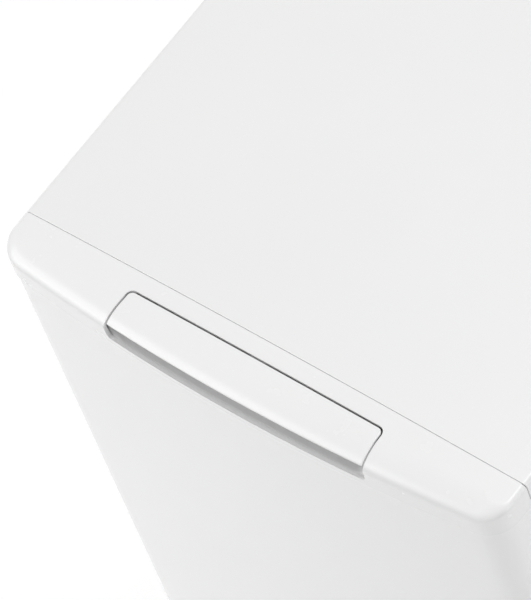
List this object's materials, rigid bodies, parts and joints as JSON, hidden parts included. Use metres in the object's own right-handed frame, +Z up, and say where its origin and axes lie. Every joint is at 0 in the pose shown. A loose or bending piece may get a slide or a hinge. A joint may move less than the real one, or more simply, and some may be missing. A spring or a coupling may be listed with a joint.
{
  "type": "trash compactor",
  "caption": "Slim white floor-standing trash compactor: crowned top, bowed pull-out drawer front with a lift handle in its wrap-over trim, and a screw-driven ram inside.",
  "frame": {"origin": "on the floor, under the middle of the machine's overall box", "axes": "+Z up; -Y is the front, the side the drawer opens to; +X is the user's right"},
  "size_m": [0.381, 0.61, 0.8963],
  "materials": {
    "white_paint": "smooth satin white enamel on sheet steel",
    "white_plastic": "satin-gloss white moulded plastic",
    "grey_plastic": "plain grey moulded plastic",
    "dark_plastic": "black moulded plastic",
    "zinc_plate": "bright zinc-plated steel",
    "bright_steel": "turned or ground bright steel",
    "cast_metal": "sintered or cast iron, oiled",
    "motor_paint": "black motor paint",
    "rubber": "black ribbed belt rubber",
    "indicator_lens": "tinted clear plastic",
    "filter_media": "charcoal filter pad"
  },
  "bodies": {
    "cabinet": {"left_side_panel": "white_paint", "right_side_panel": "white_paint", "back_panel": "white_paint", "top_panel": "white_paint", "kick_plate": "white_paint", "control_console": "white_plastic", "front_left_foot": "grey_plastic", "front_right_foot": "grey_plastic", "rear_left_foot": "grey_plastic", "rear_right_foot": "grey_plastic", "start_capacitor": "grey_plastic", "cord_gland": "dark_plastic", "top_limit_switch": "dark_plastic", "drawer_switch": "dark_plastic", "base_pan": "zinc_plate", "top_front_rail": "zinc_plate", "upper_drive_brace": "zinc_plate", "left_outer_rail": "zinc_plate", "right_outer_rail": "zinc_plate", "motor_bracket": "zinc_plate", "idler_bracket": "zinc_plate", "latch_keeper": "bright_steel", "lower_bearing_left": "cast_metal", "lower_bearing_right": "cast_metal", "upper_bearing_left": "cast_metal", "upper_bearing_right": "cast_metal", "drive_motor": "motor_paint", "drive_belt": "rubber", "indicator_lens": "indicator_lens", "odour_filter": "filter_media"},
    "drawer": {"drawer_front_panel": "white_paint", "drawer_front_liner": "white_paint", "front_trim": "white_plastic", "finger_recess": "white_plastic", "handle_pin": "bright_steel", "drawer_carriage": "zinc_plate", "trash_container": "grey_plastic"},
    "handle": {"handle_flap": "white_plastic"},
    "latch_rod": {"latch_rod": "bright_steel"},
    "latch_hook": {"latch_hook": "bright_steel"},
    "drawer_roller_left": {"drawer_roller_left": "grey_plastic"},
    "drawer_roller_right": {"drawer_roller_right": "grey_plastic"},
    "cabinet_roller_left": {"cabinet_roller_left": "grey_plastic"},
    "cabinet_roller_right": {"cabinet_roller_right": "grey_plastic"},
    "ram": {"ram_plate": "bright_steel", "ram_plunger": "zinc_plate", "ram_crossbeam": "zinc_plate", "drive_nut_left": "grey_plastic", "drive_nut_right": "grey_plastic"},
    "screw_left": {"power_screw_left": "bright_steel", "screw_pulley_left": "cast_metal"},
    "screw_right": {"power_screw_right": "bright_steel", "screw_pulley_right": "cast_metal"},
    "motor_rotor": {"motor_pulley": "bright_steel"},
    "idler": {"idler_pulley": "grey_plastic"},
    "knob": {"control_knob": "white_plastic"},
    "start_button": {"start_button": "grey_plastic"},
    "stop_button": {"stop_button": "grey_plastic"},
    "filter_door": {"filter_door": "white_plastic"}
  },
  "joints": [
    {"name": "drawer_slide", "type": "slide", "parent": "cabinet", "child": "drawer", "axis": [0, -1, 0], "range_m": [0, 0.36]},
    {"name": "handle_lift", "type": "hinge", "parent": "drawer", "child": "handle", "pos_m": [0, -0.2815, 0.85985], "axis": [-1, 0, 0], "range_deg": [0, 16], "stiffness_Nm_per_rad": 0.05, "springref_deg": -17.19},
    {"name": "latch_rod_slide", "type": "slide", "parent": "drawer", "child": "latch_rod", "axis": [0, 0, -1], "range_m": [0, 0.0032]},
    {"name": "latch_hook_turn", "type": "hinge", "parent": "drawer", "child": "latch_hook", "pos_m": [0, -0.29, 0.792], "axis": [-1, 0, 0], "range_deg": [0, 11]},
    {"name": "drawer_roller_left_spin", "type": "hinge", "parent": "drawer", "child": "drawer_roller_left", "pos_m": [-0.1358, 0.1575, 0.0784], "axis": [1, 0, 0], "range_deg": [0, 2070]},
    {"name": "drawer_roller_right_spin", "type": "hinge", "parent": "drawer", "child": "drawer_roller_right", "pos_m": [0.1358, 0.1575, 0.0784], "axis": [1, 0, 0], "range_deg": [0, 2070]},
    {"name": "cabinet_roller_left_spin", "type": "hinge", "parent": "cabinet", "child": "cabinet_roller_left", "pos_m": [-0.117, -0.231, 0.0737], "axis": [1, 0, 0], "range_deg": [0, 2070]},
    {"name": "cabinet_roller_right_spin", "type": "hinge", "parent": "cabinet", "child": "cabinet_roller_right", "pos_m": [0.117, -0.231, 0.0737], "axis": [1, 0, 0], "range_deg": [0, 2070]},
    {"name": "ram_drive", "type": "slide", "parent": "cabinet", "child": "ram", "axis": [0, 0, -1], "range_m": [0, 0.24]},
    {"name": "screw_left_spin", "type": "hinge", "parent": "cabinet", "child": "screw_left", "pos_m": [-0.16, -0.0425, 0.4], "axis": [0, 0, 1], "range_deg": [0, 7205]},
    {"name": "screw_right_spin", "type": "hinge", "parent": "cabinet", "child": "screw_right", "pos_m": [0.16, -0.0425, 0.4], "axis": [0, 0, 1], "range_deg": [0, 7205]},
    {"name": "motor_spin", "type": "hinge", "parent": "cabinet", "child": "motor_rotor", "pos_m": [0, 0.215, 0.04], "axis": [0, 0, 1], "range_deg": [0, 11330]},
    {"name": "idler_spin", "type": "hinge", "parent": "cabinet", "child": "idler", "pos_m": [0.045, -0.062, 0.036], "axis": [0, 0, 1], "range_deg": [0, 12200]},
    {"name": "knob_turn", "type": "hinge", "parent": "cabinet", "child": "knob", "pos_m": [0.12, 0.255, 0.87551], "axis": [0, 0.342, -0.9397], "range_deg": [0, 90]},
    {"name": "start_press", "type": "slide", "parent": "cabinet", "child": "start_button", "axis": [0, 0.342, -0.9397], "range_m": [0, 0.0025], "stiffness_N_per_m": 400, "springref_m": -0.002},
    {"name": "stop_press", "type": "slide", "parent": "cabinet", "child": "stop_button", "axis": [0, 0.342, -0.9397], "range_m": [0, 0.0025], "stiffness_N_per_m": 400, "springref_m": -0.002},
    {"name": "filter_door_swing", "type": "hinge", "parent": "cabinet", "child": "filter_door", "pos_m": [0, 0.3028, 0.617], "axis": [-1, 0, 0], "range_deg": [0, 100]}
  ],
  "couplings": [
    {"joint": "latch_rod_slide", "follows": "handle_lift", "m_per_rad": 0.0111},
    {"joint": "latch_hook_turn", "follows": "handle_lift", "ratio": 0.65},
    {"joint": "drawer_roller_left_spin", "follows": "drawer_slide", "rad_per_m": 100},
    {"joint": "drawer_roller_right_spin", "follows": "drawer_slide", "rad_per_m": 100},
    {"joint": "cabinet_roller_left_spin", "follows": "drawer_slide", "rad_per_m": 100},
    {"joint": "cabinet_roller_right_spin", "follows": "drawer_slide", "rad_per_m": 100},
    {"joint": "screw_left_spin", "follows": "ram_drive", "rad_per_m": 523.6},
    {"joint": "screw_right_spin", "follows": "ram_drive", "rad_per_m": 523.6},
    {"joint": "motor_spin", "follows": "ram_drive", "rad_per_m": 822.8},
    {"joint": "idler_spin", "follows": "ram_drive", "rad_per_m": 886.1}
  ]
}
